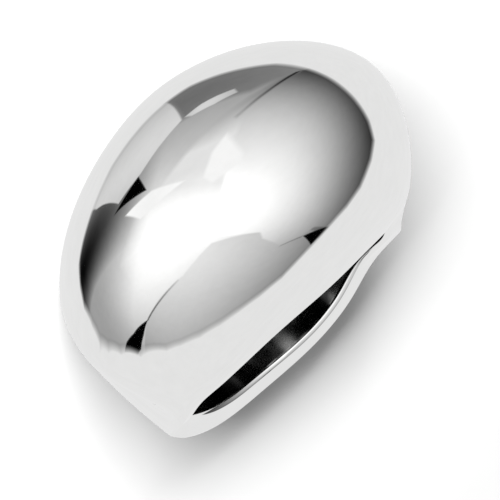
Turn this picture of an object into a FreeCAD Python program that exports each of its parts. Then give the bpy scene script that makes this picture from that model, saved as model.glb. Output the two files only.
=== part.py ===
import FreeCAD, Part
import math
import os

# A dome ring: one cast piece of polished silver, made up in millimetres.
#
# The ring is worked out standing up. Its finger hole runs along Y, X goes across
# the hand, and Z goes out through the middle of the dome. The angle of a section
# is measured about the finger hole, from +Z towards +X. A hand finish leaves the
# two sides of the ring slightly uneven. At the end the ring is laid on its +Y side,
# as it lies on a table by itself, with the table at Z = 0 and the dome towards -Y.

doc = FreeCAD.newDocument("dome_ring")
sheet = doc.addObject("Spreadsheet::Sheet", "sizes")

# Driving sizes
SIZES = {
    "finger_radius": 8.65,    # finger hole, US size 7
    "blank_depth": 1.0,       # how far the blank reaches inside the finger hole
    "rim_roll": 0.38,         # rounding where the finger hole meets the rims
    "dome_wall": 1.0,         # metal left over the hollow
    "hollow_foot": 0.5,       # how far the hollow's core reaches into the finger hole
    "bore_overrun": 2.0,      # how far the bore's cutter runs past the rims
    "rest_tilt": 13.0,        # degrees the dome stands up when the ring lies by itself
}

# Sections round the ring, a row for each angle in degrees:
#   half_width   from the middle plane to a rim, along the finger
#   skew         how much further the -Y rim stands out on the +X side, and how
#                much less on the -X side
#   crown        height of the outside over the finger hole, at the middle
#   crown_lean   how much more that is on the +X side, and less on the -X side
#   edge         thickness of the rim's flat
#   edge_lean    how much more that is on the +X side, and less on the -X side
#   top, flank   fullness of the crown next to its middle and next to its rim
SECTION_COLUMNS = ("angle", "half_width", "skew", "crown", "crown_lean", "edge",
                   "edge_lean", "top", "flank")
SECTIONS = (
    (0, 7.81, 0.00, 8.50, 0.00, 1.37, 0.00, 0.58, 0.68),
    (24, 7.45, -0.08, 8.70, 0.19, 1.10, 0.08, 0.56, 0.50),
    (44, 6.82, -0.19, 7.50, 0.34, 1.00, 0.14, 0.53, 0.34),
    (60, 6.06, -0.31, 5.60, 0.42, 0.98, 0.14, 0.47, 0.35),
    (72, 5.47, -0.31, 4.25, 0.46, 1.00, 0.13, 0.43, 0.35),
    (82, 5.20, -0.23, 2.47, 0.55, 0.98, 0.05, 0.48, 0.38),
    (92, 4.87, -0.11, 1.78, 0.55, 1.10, 0.25, 0.41, 0.35),
    (102, 4.25, 0.03, 1.75, 0.50, 1.50, 0.52, 0.33, 0.32),
    (116, 3.56, 0.13, 1.75, 0.30, 1.50, 0.20, 0.32, 0.31),
    (136, 3.48, 0.20, 2.03, 0.22, 1.70, -0.05, 0.33, 0.32),
    (158, 3.45, 0.10, 2.50, 0.12, 1.89, -0.03, 0.37, 0.38),
    (180, 3.28, 0.00, 2.40, 0.00, 1.95, 0.00, 0.44, 0.45),
)

# Angle and rise of the hollow's sections under the dome, at both sides of its middle
HOLLOW = (
    (0, 7.50),
    (22, 7.70),
    (42, 6.65),
    (54, 5.25),
    (63, 4.10),
    (70, 3.00),
    (75, 1.90),
)


def fill_sheet():
    """Write every driving size into the sheet, with its name as the cell's alias."""
    row = 1
    named = dict(SIZES)
    for values in SECTIONS:
        for column, value in zip(SECTION_COLUMNS[1:], values[1:]):
            named["%s_at_%d" % (column, values[0])] = value
    for angle, rise in HOLLOW:
        named["hollow_rise_at_%d" % angle] = rise
    for name, value in named.items():
        sheet.set("A%d" % row, name)
        sheet.set("B%d" % row, str(value))
        sheet.setAlias("B%d" % row, name)
        row += 1
    doc.recompute()


def size(name):
    return float(sheet.get(name))


fill_sheet()
FINGER_RADIUS = size("finger_radius")
ANGLES = [values[0] for values in SECTIONS]
ROUND_ANGLES = ANGLES + [360 - angle for angle in reversed(ANGLES[1:-1])]
SLOPE_SWEEPS = 60


def section(angle):
    """The section's sizes at an angle from 0 to 360, as a dictionary."""
    station = min(angle, 360 - angle)
    side = 1 if angle <= 180 else -1
    found = {column: size("%s_at_%d" % (column, station)) for column in SECTION_COLUMNS[1:]}
    found["low_width"] = found["half_width"] + side * found["skew"]
    found["crown"] += side * found["crown_lean"]
    found["edge"] += side * found["edge_lean"]
    return found


def place(angle, across, rise):
    """A point at an angle round the ring, along the finger and over the finger hole."""
    turn = math.radians(angle)
    reach = FINGER_RADIUS + rise
    return FreeCAD.Vector(reach * math.sin(turn), across, reach * math.cos(turn))


def arch_poles(low_width, high_width, crown, edge, top, flank):
    """Poles of the arch from the -Y rim over the middle to the +Y rim."""
    shoulder = edge + flank * (crown - edge)
    return (
        (-low_width, edge), (-low_width, shoulder), (-top * low_width, crown),
        (top * high_width, crown), (high_width, shoulder), (high_width, edge),
    )


def closed_row(points):
    """Poles, knots and multiplicities of the closed smooth curve through the points.

    The curve passes one point at every section's angle, and its slopes are settled by
    turns until its bend, too, runs on smoothly through every point.
    """
    knots = [math.radians(angle) for angle in ROUND_ANGLES] + [2 * math.pi]
    count = len(points)
    after = [knots[i + 1] - knots[i] for i in range(count)]
    step = [(points[(i + 1) % count] - points[i]) * (1 / after[i] ** 2) for i in range(count)]
    slopes = [FreeCAD.Vector() for point in points]
    for sweep in range(SLOPE_SWEEPS):
        for i in range(count):
            neighbours = (slopes[i - 1] * (1 / after[i - 1])
                          + slopes[(i + 1) % count] * (1 / after[i]))
            pull = (step[i - 1] + step[i]) * 3 - neighbours
            slopes[i] = pull * (0.5 / (1 / after[i - 1] + 1 / after[i]))
    poles = []
    for i in range(count):
        poles.append(points[i] - slopes[i] * (after[i - 1] / 3))
        poles.append(points[i] + slopes[i] * (after[i] / 3))
    return poles, knots, [2] * len(knots)


def ring_face(rows, cross_knots, cross_mults, cross_degree):
    """The closed face round the ring whose pole rows pass through every section."""
    made = [closed_row([place(angle, *row[i]) for i, angle in enumerate(ROUND_ANGLES)])
            for row in rows]
    knots, mults = made[0][1], made[0][2]
    poles = [[row[0][i] for row in made] for i in range(len(made[0][0]))]
    surface = Part.BSplineSurface()
    surface.buildFromPolesMultsKnots(poles, mults, cross_mults, knots, cross_knots,
                                     True, False, 3, cross_degree)
    return surface.toShape()


def ring_blank():
    """The outside of the ring, its rims and a plain inside, as one solid."""
    arches = []
    for angle in ROUND_ANGLES:
        found = section(angle)
        arches.append(arch_poles(found["low_width"], found["half_width"], found["crown"],
                                 found["edge"], found["top"], found["flank"]))
    depth = -size("blank_depth")
    outside = [[arch[j] for arch in arches] for j in range(6)]
    low_side = [(arch[0][0], depth) for arch in arches]
    high_side = [(arch[-1][0], depth) for arch in arches]
    faces = [
        ring_face(outside, [0, 0.5, 1], [4, 2, 4], 3),
        ring_face([outside[5], high_side], [0, 1], [2, 2], 1),
        ring_face([high_side, low_side], [0, 1], [2, 2], 1),
        ring_face([low_side, outside[0]], [0, 1], [2, 2], 1),
    ]
    shell = Part.Shell(faces)
    shell.sewShape()
    solid = Part.Solid(shell)
    if solid.Volume < 0:
        solid.reverse()
    return solid


def hollow_section(angle, rise):
    """The closed outline of the hollow at an angle under the dome."""
    side = abs(angle)
    near = max(station for station in ANGLES if station <= side)
    far = min(station for station in ANGLES if station > side)
    share = (side - near) / (far - near)

    def between(column):
        low = size("%s_at_%d" % (column, near))
        high = size("%s_at_%d" % (column, far))
        return low + share * (high - low)

    wall = size("dome_wall")
    foot = -size("hollow_foot")
    half_width = between("half_width") - abs(between("skew")) - wall
    rise += math.copysign(between("crown_lean"), angle)
    springing = min(between("edge"), 0.5 * rise)
    arch = arch_poles(half_width, half_width, rise, springing, between("top"),
                      between("flank"))
    curve = Part.BSplineCurve()
    curve.buildFromPolesMultsKnots([place(angle, *pole) for pole in arch],
                                   [4, 2, 4], [0, 0.5, 1], False, 3)
    corners = [arch[-1], (half_width, foot), (-half_width, foot), arch[0]]
    points = [place(angle, *corner) for corner in corners]
    edges = [curve.toShape()]
    edges += [Part.LineSegment(points[i], points[i + 1]).toShape() for i in range(3)]
    return Part.Wire(edges)


def hollow_core():
    """The solid that leaves the hollow under the dome."""
    stations = [(-angle, angle) for angle, rise in reversed(HOLLOW[1:])]
    stations += [(angle, angle) for angle, rise in HOLLOW]
    outlines = [hollow_section(angle, size("hollow_rise_at_%d" % row))
                for angle, row in stations]
    core = Part.makeLoft(outlines, True, False)
    if core.Volume < 0:
        core.reverse()
    return core


# The blank, with the finger hole bored through it
blank = doc.addObject("Part::Feature", "ring_blank")
blank.Shape = ring_blank()

bore = doc.addObject("Part::Cylinder", "finger_bore")
bore.setExpression("Radius", "sizes.finger_radius")
bore.setExpression("Height", "2 * (sizes.half_width_at_0 + sizes.bore_overrun)")
bore.Placement = FreeCAD.Placement(FreeCAD.Vector(0, 0, 0),
                                   FreeCAD.Rotation(FreeCAD.Vector(1, 0, 0), -90))
bore.setExpression("Placement.Base.y", "-(sizes.half_width_at_0 + sizes.bore_overrun)")

bored = doc.addObject("Part::Cut", "bored_ring")
bored.Base = blank
bored.Tool = bore
doc.recompute()


def rim_edges(shape):
    """Numbers of the edges where the finger hole meets the two rims."""
    found = []
    for number, edge in enumerate(shape.Edges, 1):
        middle = edge.valueAt(0.5 * (edge.FirstParameter + edge.LastParameter))
        start = edge.valueAt(edge.FirstParameter)
        on_bore = all(abs(math.hypot(point.x, point.z) - FINGER_RADIUS) < 0.01
                      for point in (middle, start))
        if on_bore and edge.Curve.TypeId != "Part::GeomLine":
            found.append(number)
    return found


rolled = doc.addObject("Part::Fillet", "rolled_rims")
rolled.Base = bored
rolled.Edges = [(number, size("rim_roll"), size("rim_roll"))
                for number in rim_edges(bored.Shape)]
doc.recompute()

# The ring itself, with the hollow taken out under its dome
core = doc.addObject("Part::Feature", "hollow_core")
core.Shape = hollow_core()

ring = doc.addObject("Part::Cut", "dome_ring")
ring.Base = rolled
ring.Tool = core
ring.Label = "dome_ring"
doc.recompute()

# Laid on its +Y side, set on Z = 0 and centred over the origin
turned = FreeCAD.Rotation(FreeCAD.Vector(0, 0, 1), 180)
laid = FreeCAD.Rotation(FreeCAD.Vector(1, 0, 0), 90 - size("rest_tilt"))
ring.Placement = FreeCAD.Placement(FreeCAD.Vector(0, 0, 0), laid.multiply(turned))
doc.recompute()
box = ring.Shape.optimalBoundingBox(False)
centring = FreeCAD.Vector(-0.5 * (box.XMin + box.XMax), -0.5 * (box.YMin + box.YMax),
                          -box.ZMin)
ring.Placement = FreeCAD.Placement(centring, FreeCAD.Rotation()).multiply(ring.Placement)
doc.recompute()

for item in doc.Objects:
    if "Invalid" in item.State or "Error" in item.State:
        raise RuntimeError("%s failed: %s" % (item.Name, item.State))
if ring.Shape.isNull() or not ring.Shape.isValid() or len(ring.Shape.Solids) != 1:
    raise RuntimeError("the ring isn't one valid solid")

os.makedirs("parts", exist_ok=True)
ring.Shape.exportStep("parts/dome_ring.step")
box = ring.Shape.optimalBoundingBox(False)
print("volume %.1f mm3" % ring.Shape.Volume)
print("box %.3f %.3f %.3f to %.3f %.3f %.3f" % (box.XMin, box.YMin, box.ZMin,
                                                box.XMax, box.YMax, box.ZMax))
print("finger hole through", ring.Placement.Base, "along",
      ring.Placement.Rotation.multVec(FreeCAD.Vector(0, -1, 0)))
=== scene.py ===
import math

import bmesh
import bpy
import numpy as np
from mathutils import Matrix, Vector


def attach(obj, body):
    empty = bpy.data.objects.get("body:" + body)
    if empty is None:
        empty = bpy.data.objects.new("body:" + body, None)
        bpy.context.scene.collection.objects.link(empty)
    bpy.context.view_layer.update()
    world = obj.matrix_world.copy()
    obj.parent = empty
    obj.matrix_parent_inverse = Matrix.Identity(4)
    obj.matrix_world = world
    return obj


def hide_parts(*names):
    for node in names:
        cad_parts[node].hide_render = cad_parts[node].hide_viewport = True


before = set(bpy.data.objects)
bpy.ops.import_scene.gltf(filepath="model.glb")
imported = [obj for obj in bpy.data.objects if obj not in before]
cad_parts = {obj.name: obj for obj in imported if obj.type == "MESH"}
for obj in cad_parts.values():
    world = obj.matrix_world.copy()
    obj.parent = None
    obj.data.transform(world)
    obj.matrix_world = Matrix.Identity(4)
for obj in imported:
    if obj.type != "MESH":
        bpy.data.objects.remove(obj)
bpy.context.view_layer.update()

# A polished silver dome ring lying on its side on a pale floor, in a white studio tent.
#
# The ring is worked out in millimetres, standing up: its finger hole runs along Y, X goes
# across the hand and Z goes out through the dome. An angle round the ring is measured
# about the finger hole, from +Z towards +X, in degrees. At the end it is laid down.

# Sizes of the ring
FINGER_RADIUS = 8.65                    # finger hole
RIM_ROLL = 0.38                         # rounding where the finger hole meets the rims
DOME_WALL = 1.0                         # metal left over the hollow
REST_TILT = 13.0                        # degrees the lying ring's dome points upwards
HOLE_CENTRE = (0.396, 2.937, 5.599)     # finger hole's middle when the ring lies

# Sections round the ring, a row for each angle in degrees:
#   half_width   from the middle plane to a rim, along the finger
#   skew         how much further the -Y rim stands out on the +X side, and how
#                much less on the -X side
#   crown        height of the outside over the finger hole, at the middle
#   crown_lean   how much more that is on the +X side, and less on the -X side
#   edge         thickness of the rim's flat
#   edge_lean    how much more that is on the +X side, and less on the -X side
#   top, flank   fullness of the crown next to its middle and next to its rim
# The sizes come from a fit to the photograph's outline, rounded. Some of them were changed
# afterwards.
COLUMNS = ("angle", "half_width", "skew", "crown", "crown_lean", "edge", "edge_lean",
           "top", "flank")
SECTIONS = (
    (0, 7.81, 0.00, 8.50, 0.00, 1.37, 0.00, 0.58, 0.68),
    (24, 7.45, -0.08, 8.70, 0.19, 1.10, 0.08, 0.56, 0.50),
    (44, 6.82, -0.19, 7.50, 0.34, 1.00, 0.14, 0.53, 0.34),
    (60, 6.06, -0.31, 5.60, 0.42, 0.98, 0.14, 0.47, 0.35),
    (72, 5.47, -0.31, 4.25, 0.46, 1.00, 0.13, 0.43, 0.35),
    (82, 5.20, -0.23, 2.47, 0.55, 0.98, 0.05, 0.48, 0.38),
    (92, 4.87, -0.11, 1.78, 0.55, 1.10, 0.25, 0.41, 0.35),
    (102, 4.25, 0.03, 1.75, 0.50, 1.50, 0.52, 0.33, 0.32),
    (116, 3.56, 0.13, 1.75, 0.30, 1.50, 0.20, 0.32, 0.31),
    (136, 3.48, 0.20, 2.03, 0.22, 1.70, -0.05, 0.33, 0.32),
    (158, 3.45, 0.10, 2.50, 0.12, 1.89, -0.03, 0.37, 0.38),
    (180, 3.28, 0.00, 2.40, 0.00, 1.95, 0.00, 0.44, 0.45),
)

# Angle and rise of the hollow under the dome
HOLLOW = ((0, 7.50), (22, 7.70), (42, 6.65), (54, 5.25), (63, 4.10), (70, 3.00), (75, 1.90))
HOLLOW_END = HOLLOW[-1][0]

# The mesh: degrees between its sections, and the numbers of points or steps along the
# outside, the hollow's arch, a rim's flat, its rounding, the ledge from there to the
# hollow, and the hollow's upright wall
ANGLE_STEP = 0.5
OUTSIDE_POINTS = 113
ARCH_POINTS = 65
RIM_STEPS = 8
ROLL_STEPS = 10
LEDGE_STEPS = 4
WALL_STEPS = 6
SHANK_SHARE = 0.9       # most of the shank's flat width that the ledges leave free
WELD_DISTANCE = 1e-7    # metres
SHARP_ANGLE = 40        # degrees between faces that count as an edge


def smooth_curve(knots, values, at, closed):
    """Values at some places of the smooth cubic curve through the values at its knots."""
    knots = np.asarray(knots, float)
    values = np.asarray(values, float)
    count = len(values)
    step = np.diff(knots)
    matrix = np.eye(count)
    load = np.zeros_like(values)
    for i in range(count):
        if not closed and i in (0, count - 1):
            continue
        before, after = (i - 1) % count, (i + 1) % count
        gap_before, gap_after = step[i - 1], step[i]
        matrix[i, i] = 2 * (gap_before + gap_after)
        matrix[i, before] += gap_before
        matrix[i, after] += gap_after
        load[i] = 6 * ((values[after] - values[i]) / gap_after
                       - (values[i] - values[before]) / gap_before)
    bend = np.linalg.solve(matrix, load)
    low = np.clip(np.searchsorted(knots, at, side="right") - 1, 0, len(step) - 1)
    high = (low + 1) % count
    gap = step[low][:, None]
    past = (at - knots[low])[:, None]
    left = gap - past
    return ((bend[low] * left ** 3 + bend[high] * past ** 3) / (6 * gap)
            + (values[low] / gap - bend[low] * gap / 6) * left
            + (values[high] / gap - bend[high] * gap / 6) * past)


def place(angle, across, rise):
    """Points at angles round the ring, along the finger and over the finger hole."""
    turn = np.radians(angle)
    reach = FINGER_RADIUS + rise
    return np.stack(np.broadcast_arrays(reach * np.sin(turn), across, reach * np.cos(turn)), -1)


def arch_poles(low_width, high_width, crown, edge, top, flank):
    """Poles of the arch from the -Y rim over the middle to the +Y rim."""
    shoulder = edge + flank * (crown - edge)
    return np.array((
        (-low_width, edge), (-low_width, shoulder), (-top * low_width, crown),
        (top * high_width, crown), (high_width, shoulder), (high_width, edge),
    ))


def arch_points(poles, count):
    """Points along two cubic arcs that meet smoothly halfway, for rows of six poles."""
    middle = 0.5 * (poles[2] + poles[3])
    rows = []
    for u in np.linspace(0, 2, count):
        if u < 1:
            four = (poles[0], poles[1], poles[2], middle)
            t = u
        else:
            four = (middle, poles[3], poles[4], poles[5])
            t = u - 1
        weights = ((1 - t) ** 3, 3 * t * (1 - t) ** 2, 3 * t * t * (1 - t), t ** 3)
        rows.append(sum(weight * pole for weight, pole in zip(weights, four)))
    return np.array(rows)


def stations_round():
    """Every section's angle and arch poles, once round the ring."""
    rows = [dict(zip(COLUMNS, row)) for row in SECTIONS]
    found = []
    for side, group in ((1, rows), (-1, rows[-2:0:-1])):
        for row in group:
            found.append((
                row["angle"] if side > 0 else 360 - row["angle"],
                arch_poles(row["half_width"] + side * row["skew"], row["half_width"],
                           row["crown"] + side * row["crown_lean"],
                           row["edge"] + side * row["edge_lean"],
                           row["top"], row["flank"]),
            ))
    return found


def pole_rows(angles):
    """The outside's six pole rows at the angles, as points."""
    found = stations_round()
    knots = [angle for angle, poles in found] + [360]
    poles = np.array([place(angle, poles[:, 0], poles[:, 1]) for angle, poles in found])
    return np.array([smooth_curve(knots, poles[:, j], angles, True)
                     for j in range(poles.shape[1])])


def flat(points):
    """Points as distances along the finger and over the finger hole."""
    return points[..., 1], np.hypot(points[..., 0], points[..., 2]) - FINGER_RADIUS


def hollow_rows(angles):
    """The hollow's half width, the height its arch springs from, and the arch, at the angles.

    Angles past the hollow's ends count as its ends.
    """
    angles = np.clip((angles + 180) % 360 - 180, -HOLLOW_END, HOLLOW_END)
    table = np.array(SECTIONS, float)
    size = {name: np.interp(np.abs(angles), table[:, 0], table[:, i])
            for i, name in enumerate(COLUMNS)}
    stations = [-angle for angle, rise in HOLLOW[:0:-1]] + [angle for angle, rise in HOLLOW]
    rises = [rise for angle, rise in HOLLOW[:0:-1]] + [rise for angle, rise in HOLLOW]
    rise = smooth_curve(stations, np.array(rises)[:, None], angles, False)[:, 0]
    rise = rise + np.sign(angles) * size["crown_lean"]
    half_width = size["half_width"] - np.abs(size["skew"]) - DOME_WALL
    springing = np.minimum(size["edge"], 0.5 * rise)
    poles = arch_poles(half_width, half_width, rise, springing, size["top"], size["flank"])
    return half_width, springing, arch_points(poles, ARCH_POINTS)


def steps(start, end, count):
    """Even steps from one row of values to another, without the last one."""
    share = np.linspace(0, 1, count, endpoint=False)[:, None]
    return start * (1 - share) + end * share


def section_loops(angles, hollowed):
    """Closed outlines of the sections at the angles, and which of their points are inside.

    The outlines run over the outside, down the +Y rim, back through the finger hole or
    the hollow, and up the -Y rim.
    """
    outside = arch_points(pole_rows(angles), OUTSIDE_POINTS)
    across, rise = flat(outside)
    low, high = -across[0], across[-1]
    zero = np.zeros_like(low)
    roll = zero + RIM_ROLL
    half_width, springing, arch = hollow_rows(angles)

    if hollowed:
        arch = arch[::-1]
        middle_across = (steps(half_width, half_width, WALL_STEPS), arch[:-1, 0],
                         steps(-half_width, -half_width, WALL_STEPS))
        middle_rise = (steps(zero, springing, WALL_STEPS), arch[:-1, 1],
                       steps(springing, zero, WALL_STEPS))
    else:
        half_width = np.minimum(half_width, SHANK_SHARE * (np.minimum(low, high) - RIM_ROLL))
        count = ARCH_POINTS - 1 + 2 * WALL_STEPS
        middle_across = (steps(half_width, -half_width, count),)
        middle_rise = (steps(zero, zero, count),)
    inner_across = np.concatenate((steps(high - RIM_ROLL, half_width, LEDGE_STEPS),
                                   *middle_across,
                                   steps(-half_width, -low + RIM_ROLL, LEDGE_STEPS)))
    inner_rise = np.concatenate((steps(zero, zero, LEDGE_STEPS), *middle_rise,
                                 steps(zero, zero, LEDGE_STEPS)))

    turn = np.radians(np.linspace(0, 90, ROLL_STEPS, endpoint=False))[:, None]
    # Along the finger, over the finger hole, and whether it is inside
    parts = (
        (across[:-1], rise[:-1], False),
        (steps(high, high, RIM_STEPS), steps(rise[-1], roll, RIM_STEPS), False),
        (high - RIM_ROLL * (1 - np.cos(turn)), roll * (1 - np.sin(turn)), False),
        (inner_across, inner_rise, True),
        (-low + RIM_ROLL * (1 - np.sin(turn)), roll * (1 - np.cos(turn)), False),
        (steps(-low, -low, RIM_STEPS), steps(roll, rise[0], RIM_STEPS), False),
    )
    loops = place(angles[None, :], np.concatenate([part[0] for part in parts]),
                  np.concatenate([part[1] for part in parts]))
    loops[:len(outside) - 1] = outside[:-1]
    inside = np.concatenate([np.full(len(part[0]), part[2]) for part in parts])
    return loops, inside


def strip(here, there, around, kept):
    """Faces between two loops that start at the given points, for the sides that are kept."""
    faces = []
    for j in range(around):
        if kept[j]:
            after = (j + 1) % around
            faces.append((here + j, there + j, there + after, here + after))
    return faces


def ring_mesh():
    """The upright ring's mesh, in metres, with its inside marked."""
    step = ANGLE_STEP
    dome_angles = np.arange(-HOLLOW_END, HOLLOW_END + step / 2, step)
    shank_angles = np.arange(HOLLOW_END, 360 - HOLLOW_END + step / 2, step)
    dome, inside = section_loops(dome_angles % 360, True)
    shank = section_loops(shank_angles, False)[0]
    around = len(inside)
    whole = np.full(around, True)
    points = np.concatenate((dome, shank), axis=1)
    points = np.moveaxis(points, 1, 0).reshape(-1, 3)

    dome_last = len(dome_angles) - 1
    shank_first = dome_last + 1
    shank_last = dome_last + len(shank_angles)
    faces = []
    for i in range(shank_last):
        if i != dome_last:
            faces += strip(i * around, (i + 1) * around, around, whole)
    for here, there in ((dome_last, shank_first), (shank_last, 0)):
        faces += strip(here * around, there * around, around, inside)

    mesh = bpy.data.meshes.new("dome_ring")
    mesh.from_pydata((points * 0.001).tolist(), [], faces)
    mark = mesh.attributes.new("inside", "FLOAT", "POINT")
    mark.data.foreach_set("value", np.tile(inside, shank_last + 1).astype(float))
    return mesh


def lying_matrix():
    """Lays the upright ring down as it rests by itself, in metres."""
    turned = Matrix.Rotation(math.radians(180), 4, "Z")
    laid = Matrix.Rotation(math.radians(90 - REST_TILT), 4, "X")
    centre = Matrix.Translation(Vector(HOLE_CENTRE) * 0.001)
    return centre @ laid @ turned


def weld(mesh):
    """Joins the points that lie on one another and turns every face outwards."""
    shape = bmesh.new()
    shape.from_mesh(mesh)
    bmesh.ops.remove_doubles(shape, verts=shape.verts, dist=WELD_DISTANCE)
    bmesh.ops.recalc_face_normals(shape, faces=shape.faces)
    shape.to_mesh(mesh)
    shape.free()
    mesh.shade_smooth()
    mesh.set_sharp_from_angle(angle=math.radians(SHARP_ANGLE))


class Nodes:
    """Short ways to make a node tree's nodes."""

    def __init__(self, tree):
        self.tree = tree
        self.tree.nodes.clear()

    def add(self, kind, settings=None, **inputs):
        """A node of a kind with its settings and its inputs, which are values or sockets."""
        node = self.tree.nodes.new(kind)
        for name, value in (settings or {}).items():
            setattr(node, name, value)
        for name, value in inputs.items():
            self.feed(node.inputs[name.replace("_", " ")], value)
        return node

    def feed(self, socket, value):
        """Links a socket to another, or sets its value."""
        if isinstance(value, bpy.types.NodeSocket):
            self.tree.links.new(value, socket)
        else:
            socket.default_value = value

    def math(self, operation, *values, clamp=False):
        """The outcome of one step of arithmetic."""
        node = self.tree.nodes.new("ShaderNodeMath")
        node.operation = operation
        node.use_clamp = clamp
        for socket, value in zip(node.inputs, values):
            self.feed(socket, value)
        return node.outputs[0]

    def mix(self, share, first, second):
        """A number between two others."""
        return self.math("ADD", self.math("MULTIPLY", first, self.math("SUBTRACT", 1.0, share)),
                         self.math("MULTIPLY", second, share))

    def noise(self, where, scale, detail):
        """Cloudy noise from 0 to 1."""
        return self.add("ShaderNodeTexNoise", Vector=where, Scale=scale,
                        Detail=detail).outputs["Fac"]

    def spread(self, share, low, high):
        """A number that goes from low to high as the share goes from 0 to 1."""
        return self.math("MULTIPLY_ADD", share, high - low, low)


# The silver: its tone, its blue against its red and green, how much wear changes its tone,
# and how rough it is, outside and inside. The inside's tone is painted shade, darkening the
# finger hole and the hollow, with lighter patches at random that go between two tones.
SILVER_TONE = 0.93
SILVER_BLUE = 0.995
WEAR_TONE = 0.03
POLISHED_ROUGHNESS = (0.02, 0.05)
INSIDE_ROUGHNESS = (0.05, 0.15)
INSIDE_SHADE_TONES = (0.08, 0.70)
PATCH_CONTRAST = 4.0
PATCH_START = -1.75


def silver():
    """Mirror-polished silver: fine polishing lines, slight waves, a duller inside painted as
    shade.
    """
    material = bpy.data.materials.new("polished_silver")
    material.use_nodes = True
    nodes = Nodes(material.node_tree)
    where = nodes.add("ShaderNodeTexCoord").outputs["Object"]
    inside = nodes.add("ShaderNodeAttribute", {"attribute_name": "inside"}).outputs["Fac"]

    waves = nodes.noise(where, scale=260.0, detail=2.0)
    stretched = nodes.add("ShaderNodeMapping", Vector=where, Scale=(900.0, 4200.0, 4200.0))
    lines = nodes.noise(stretched.outputs[0], scale=1.0, detail=3.0)
    wear = nodes.noise(where, scale=700.0, detail=4.0)
    patches = nodes.noise(where, scale=230.0, detail=3.0)

    roughness = nodes.mix(inside, nodes.spread(wear, *POLISHED_ROUGHNESS),
                          nodes.spread(wear, *INSIDE_ROUGHNESS))
    wave_bump = nodes.add("ShaderNodeBump", Strength=0.12, Distance=0.00006, Height=waves)
    line_bump = nodes.add("ShaderNodeBump", Strength=0.05, Distance=0.000004, Height=lines,
                          Normal=wave_bump.outputs[0])
    bright = nodes.spread(wear, SILVER_TONE - WEAR_TONE / 2, SILVER_TONE + WEAR_TONE / 2)
    patches = nodes.math("MULTIPLY_ADD", patches, PATCH_CONTRAST, PATCH_START, clamp=True)
    # The inside's tone: painted shade in the finger hole and the hollow, lighter in random
    # patches
    tone = nodes.mix(inside, bright, nodes.spread(patches, *INSIDE_SHADE_TONES))
    colour = nodes.add("ShaderNodeCombineColor", Red=tone, Green=tone,
                       Blue=nodes.math("MULTIPLY", tone, SILVER_BLUE))
    shader = nodes.add("ShaderNodeBsdfPrincipled", Base_Color=colour.outputs[0], Metallic=1.0,
                       Roughness=roughness, Normal=line_bump.outputs[0])
    nodes.add("ShaderNodeOutputMaterial", Surface=shader.outputs[0])
    return material


ring_data = ring_mesh()
ring_data.transform(lying_matrix())
weld(ring_data)
ring_data.materials.append(silver())
ring = bpy.data.objects.new("ring", ring_data)
bpy.context.scene.collection.objects.link(ring)
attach(ring, "root")
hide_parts("dome_ring")


# The tent round the ring, as seen from the ring. A place on it is given by degrees from
# the tent's top, eastwards and northwards. Tones go from 0, black, to 1, white, as a
# screen shows them.
TENT_EAST = Vector((-0.7068, 0.1591, 0.6893))
TENT_NORTH = Vector((-0.7074, -0.1590, -0.6887))
TENT_TOP = Vector((0.0, -0.9744, 0.2250))
SCREEN_POWER = 2.2
SHADING_POWER = 0.75    # of the squared distance from a shading's middle
CLOTH_MOTTLE = 0.03

# Where the tent meets the table, going round anticlockwise, and the table's tone. The tent
# is shaded by some of its tone next to the table.
TABLE_EDGE = (
    (-134, -24), (-130, -51), (-119, -72), (-100, -94), (-67, -115), (-23, -121), (-3, -118),
    (19, -112), (36, -104), (50, -95), (63, -85), (74, -73), (99, -11), (102, 5), (99, 23),
    (94, 35), (83, 42), (2, 77), (-20, 80), (-32, 81), (-66, 73), (-77, 70), (-87, 63),
    (-117, 41), (-127, 25), (-134, 7),
)
TABLE_TONE = 0.885
TABLE_SOFTNESS = 5.0
EDGE_SHADE = 0.25
EDGE_SHADE_WIDTH = 8.0

# The tent under its panels: the middle and radii of its shading, its tones there and
# outwards
TENT_GROUND = ((-30, -39), (116, 130), 1.03, 0.35)
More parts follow.
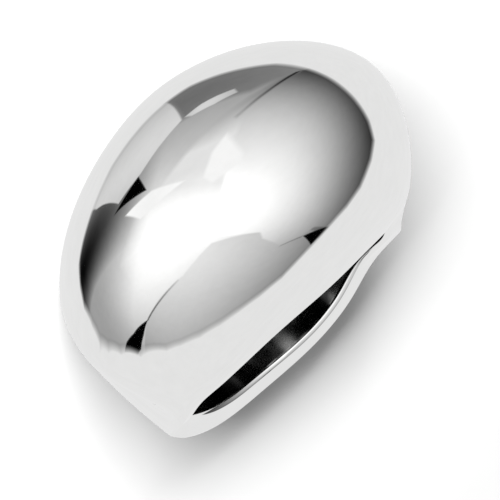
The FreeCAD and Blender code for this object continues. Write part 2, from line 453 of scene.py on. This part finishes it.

# Panels and gaps of the tent, each painted over those before it: corners going round
# anticlockwise, the middle and radii of its shading, its tones there and outwards, and
# the softness of its sides. The corners were placed one by one. The shadings of the ground
# and the larger panels come from a fit to the reflections in the photograph, rounded. A
# few of them were changed afterwards.
PANELS = (
    ("left end",
     ((-70, 70), (-160, 70), (-160, -110), (-105, -110)),
     (-75, 23), (207, 42), 0.00, 0.62, 80.0),
    ("far side's foot",
     ((-28, 50), (-53, 34), (-48, 18), (-4, 9), (40, 9), (40, 90), (15, 65)),
     (-58, 88), (179, 61), 0.00, 0.88, 3.0),
    ("overhead",
     ((-10, 8), (-48, 0), (-62, -30), (-45, -58), (-20, -58), (12, -40), (35, -25), (25, 5)),
     (-12, -22), (70, 60), 1.06, 0.97, 24.0),
    ("near side",
     ((5, -41), (-11, -68), (-24, -90), (-30, -150), (60, -150), (110, -60), (83, -38), (26, -37),
      (16, -38)),
     (-11, -47), (90, 101), 0.91, 0.52, 1.5),
    ("near side's end",
     ((-11, -67), (-29, -82), (-41, -96), (-74, -140), (0, -140), (0, -75)),
     (-11, -47), (90, 101), 0.91, 0.52, 1.5),
    ("right side",
     ((-3, 38), (6, -36), (26, -37), (60, -38), (84, -33), (130, -20), (130, 60), (40, 95),
      (15, 64)),
     (-28, -18), (154, 100), 1.25, 0.10, 1.5),
    ("lap",
     ((28, -32), (35, -43), (52, -51), (66, -43), (80, -29)),
     (-28, -18), (154, 100), 1.25, 0.10, 1.5),
    ("far side",
     ((-43, 78), (-29, 51), (-4, 51), (15, 65), (22, 97), (-36, 94)),
     (-34, 66), (80, 40), 0.42, 0.58, 4.0),
    ("far left side",
     ((-100, 72), (-93, 50), (-74, 26), (-53, 34), (-29, 51), (-43, 78), (-66, 90)),
     (-44, 46), (186, 48), 0.84, 0.61, 1.0),
    ("near seam",
     ((-13.6, -68.4), (-41.4, -95.4), (-40.6, -96.6), (-12.4, -69.6)),
     (-41, -96), (40, 40), 0.30, 0.85, 1.2),
    ("lap seam",
     ((52, -50.6), (51.6, -51.4), (66.4, -44), (66.8, -43.2)),
     (66, -43), (30, 30), 0.40, 0.70, 1.2),
    ("lit strip",
     ((-28, 52), (-24, 50), (-16, 50), (-9, 53), (-11, 57), (-22, 55)),
     (-20, 52), (20, 20), 0.83, 0.53, 0.8),
    ("fold",
     ((15.8, 66.2), (14.2, 65.4), (-5.4, 37.4), (-4.6, 36.6)),
     (14, 62), (30, 30), 0.00, 0.61, 1.5),
    ("diamond",
     ((-5, 31), (-8, 25), (-9, 13), (-4, 9), (4, 16), (4, 20)),
     (-3, 20), (20, 20), 0.96, 0.96, 1.5),
    ("left facet",
     ((-42, 16), (-67, 10), (-52, -2), (-43, 1), (-19, 14)),
     (-43, 8), (20, 20), 0.95, 0.98, 1.5),
    ("far gap",
     ((-55, 33), (-78, 20.5), (-47, 18.8)),
     (-58, 26), (20, 20), 0.03, 0.05, 1.0),
    ("right gap",
     ((68, -43), (83, -48), (92, -30)),
     (78, -43), (20, 20), 0.03, 0.05, 1.0),
    ("near gap",
     ((-41, -96), (-68, -101), (-76, -114), (-63, -114), (-52, -107)),
     (-70, -105), (40, 40), 0.03, 0.05, 1.0),
    ("near gap's end",
     ((-66, -101), (-85, -99.5), (-94, -100), (-81, -110), (-70, -114)),
     (-70, -105), (40, 40), 0.03, 0.05, 1.0),
)


class Paint:
    """Paints shaded panels on a flat map, one over the other, with a node tree's nodes."""

    def __init__(self, nodes, east, north, ground):
        self.nodes = nodes
        self.east = east
        self.north = north
        self.tone = self.shading(*ground)

    def within(self, corners, softness):
        """1 inside the corners and 0 outside."""
        nodes = self.nodes
        nearest = None
        for (e1, n1), (e2, n2) in zip(corners, corners[1:] + corners[:1]):
            length = math.hypot(e2 - e1, n2 - n1) * softness
            across_e, across_n = (n1 - n2) / length, (e2 - e1) / length
            offset = 0.5 - across_e * e1 - across_n * n1
            depth = nodes.math("MULTIPLY_ADD", self.north, across_n, offset)
            depth = nodes.math("MULTIPLY_ADD", self.east, across_e, depth)
            nearest = depth if nearest is None else nodes.math("MINIMUM", nearest, depth)
        return nodes.math("ADD", nearest, 0.0, clamp=True)

    def shading(self, middle, radii, inner, outer):
        """A tone that goes from inner at the middle to outer at the radii."""
        nodes = self.nodes
        east = nodes.math("MULTIPLY_ADD", self.east, 1 / radii[0], -middle[0] / radii[0])
        north = nodes.math("MULTIPLY_ADD", self.north, 1 / radii[1], -middle[1] / radii[1])
        share = nodes.math("ADD", nodes.math("MULTIPLY", east, east),
                           nodes.math("MULTIPLY", north, north), clamp=True)
        return nodes.spread(nodes.math("POWER", share, SHADING_POWER), inner, outer)

    def panel(self, corners, middle, radii, inner, outer, softness):
        """Paints a shaded panel over what is there."""
        covered = self.within(corners, softness)
        self.tone = self.nodes.mix(covered, self.tone,
                                   self.shading(middle, radii, inner, outer))


def tent_map(nodes, ray):
    """A ray's place on the tent, in degrees from its top eastwards and northwards."""
    def along(axis):
        node = nodes.add("ShaderNodeVectorMath", {"operation": "DOT_PRODUCT"})
        nodes.feed(node.inputs[0], ray)
        nodes.feed(node.inputs[1], axis)
        return node.outputs["Value"]

    east, north, top = along(TENT_EAST), along(TENT_NORTH), along(TENT_TOP)
    from_top = nodes.math("DEGREES", nodes.math("ARCCOSINE", top))
    length = nodes.math("SQRT", nodes.math("ADD", nodes.math("MULTIPLY", east, east),
                                           nodes.math("MULTIPLY", north, north)))
    stretch = nodes.math("DIVIDE", from_top, nodes.math("MAXIMUM", length, 0.0001))
    return nodes.math("MULTIPLY", east, stretch), nodes.math("MULTIPLY", north, stretch)


def tent():
    """White tent: lit table all round, brighter panels overhead, dark gaps at its corners."""
    world = bpy.data.worlds.new("tent")
    bpy.context.scene.world = world
    world.use_nodes = True
    world.cycles.sampling_method = "MANUAL"
    world.cycles.sample_map_resolution = 256
    nodes = Nodes(world.node_tree)
    ray = nodes.add("ShaderNodeTexCoord").outputs["Generated"]

    paint = Paint(nodes, *tent_map(nodes, ray), TENT_GROUND)
    for panel in PANELS:
        paint.panel(*panel[1:])
    shade = nodes.spread(paint.within(TABLE_EDGE, EDGE_SHADE_WIDTH), 1.0 - EDGE_SHADE, 1.0)
    tone = nodes.mix(paint.within(TABLE_EDGE, TABLE_SOFTNESS), TABLE_TONE,
                     nodes.math("MULTIPLY", paint.tone, shade))

    mottle = nodes.noise(ray, scale=14.0, detail=5.0)
    tone = nodes.math("ADD", tone, nodes.spread(mottle, -CLOTH_MOTTLE / 2, CLOTH_MOTTLE / 2))
    light = nodes.math("DIVIDE", nodes.math("POWER", tone, SCREEN_POWER), SILVER_TONE)
    backdrop = nodes.add("ShaderNodeLightPath").outputs["Is Camera Ray"]
    background = nodes.add("ShaderNodeBackground", Color=(1.0, 1.0, 1.0, 1.0),
                           Strength=nodes.mix(backdrop, light, 1.0))
    nodes.add("ShaderNodeOutputWorld", Surface=background.outputs[0])


# The floor: its size in metres, and the tones that its grain goes between
FLOOR_SIZE = 3.0
FLOOR_TONES = (0.32, 0.33)


def floor():
    """A matt floor with a fine grain, lit to a pale tone."""
    bpy.ops.mesh.primitive_plane_add(size=FLOOR_SIZE)
    plane = bpy.context.object
    plane.name = "floor"
    material = bpy.data.materials.new("floor")
    material.use_nodes = True
    nodes = Nodes(material.node_tree)
    where = nodes.add("ShaderNodeTexCoord").outputs["Object"]
    tone = nodes.spread(nodes.noise(where, scale=300.0, detail=3.0), *FLOOR_TONES)
    colour = nodes.add("ShaderNodeCombineColor", Red=tone, Green=tone, Blue=tone)
    shader = nodes.add("ShaderNodeBsdfDiffuse", Color=colour.outputs[0])
    nodes.add("ShaderNodeOutputMaterial", Surface=shader.outputs[0])
    plane.data.materials.append(material)
    plane.visible_glossy = False


# The camera, at the photograph's angle to the ring
CAMERA_PLACE = (0.084013, -0.183501, 0.127821)
CAMERA_RIGHT = Vector((-0.70666, 0.13801, 0.69397))
CAMERA_UP = Vector((-0.61425, -0.60647, -0.50487))
CAMERA_BACK = Vector((0.35119, -0.78304, 0.51333))
LENS = 278.1
SHIFT = (0.0334, 0.0524)


def camera():
    """A long lens, turned and shifted so that the ring lies as in the photograph."""
    data = bpy.data.cameras.new("camera")
    data.sensor_width = 36
    data.lens = LENS
    data.shift_x, data.shift_y = SHIFT
    data.clip_start = 0.01
    data.clip_end = 20
    thing = bpy.data.objects.new("camera", data)
    bpy.context.scene.collection.objects.link(thing)
    turned = Matrix((CAMERA_RIGHT, CAMERA_UP, CAMERA_BACK)).transposed().to_4x4()
    thing.matrix_world = Matrix.Translation(CAMERA_PLACE) @ turned
    bpy.context.scene.camera = thing


# The key light: low and from the camera's side, so that the shadow falls behind the ring
KEY_PLACE = (0.150, -0.429, 0.207)
KEY_SIZE = (0.26, 0.07)
KEY_POWER = 20.0


def key_light():
    """An oblong light turned to the ring, which the ring doesn't mirror."""
    data = bpy.data.lights.new("key", "AREA")
    data.shape = "RECTANGLE"
    data.size, data.size_y = KEY_SIZE
    data.energy = KEY_POWER
    thing = bpy.data.objects.new("key", data)
    bpy.context.scene.collection.objects.link(thing)
    thing.location = KEY_PLACE
    thing.rotation_euler = (-Vector(KEY_PLACE)).to_track_quat("-Z", "Y").to_euler()
    thing.visible_glossy = False


tent()
floor()
camera()
key_light()
bpy.context.scene.view_settings.view_transform = "Standard"
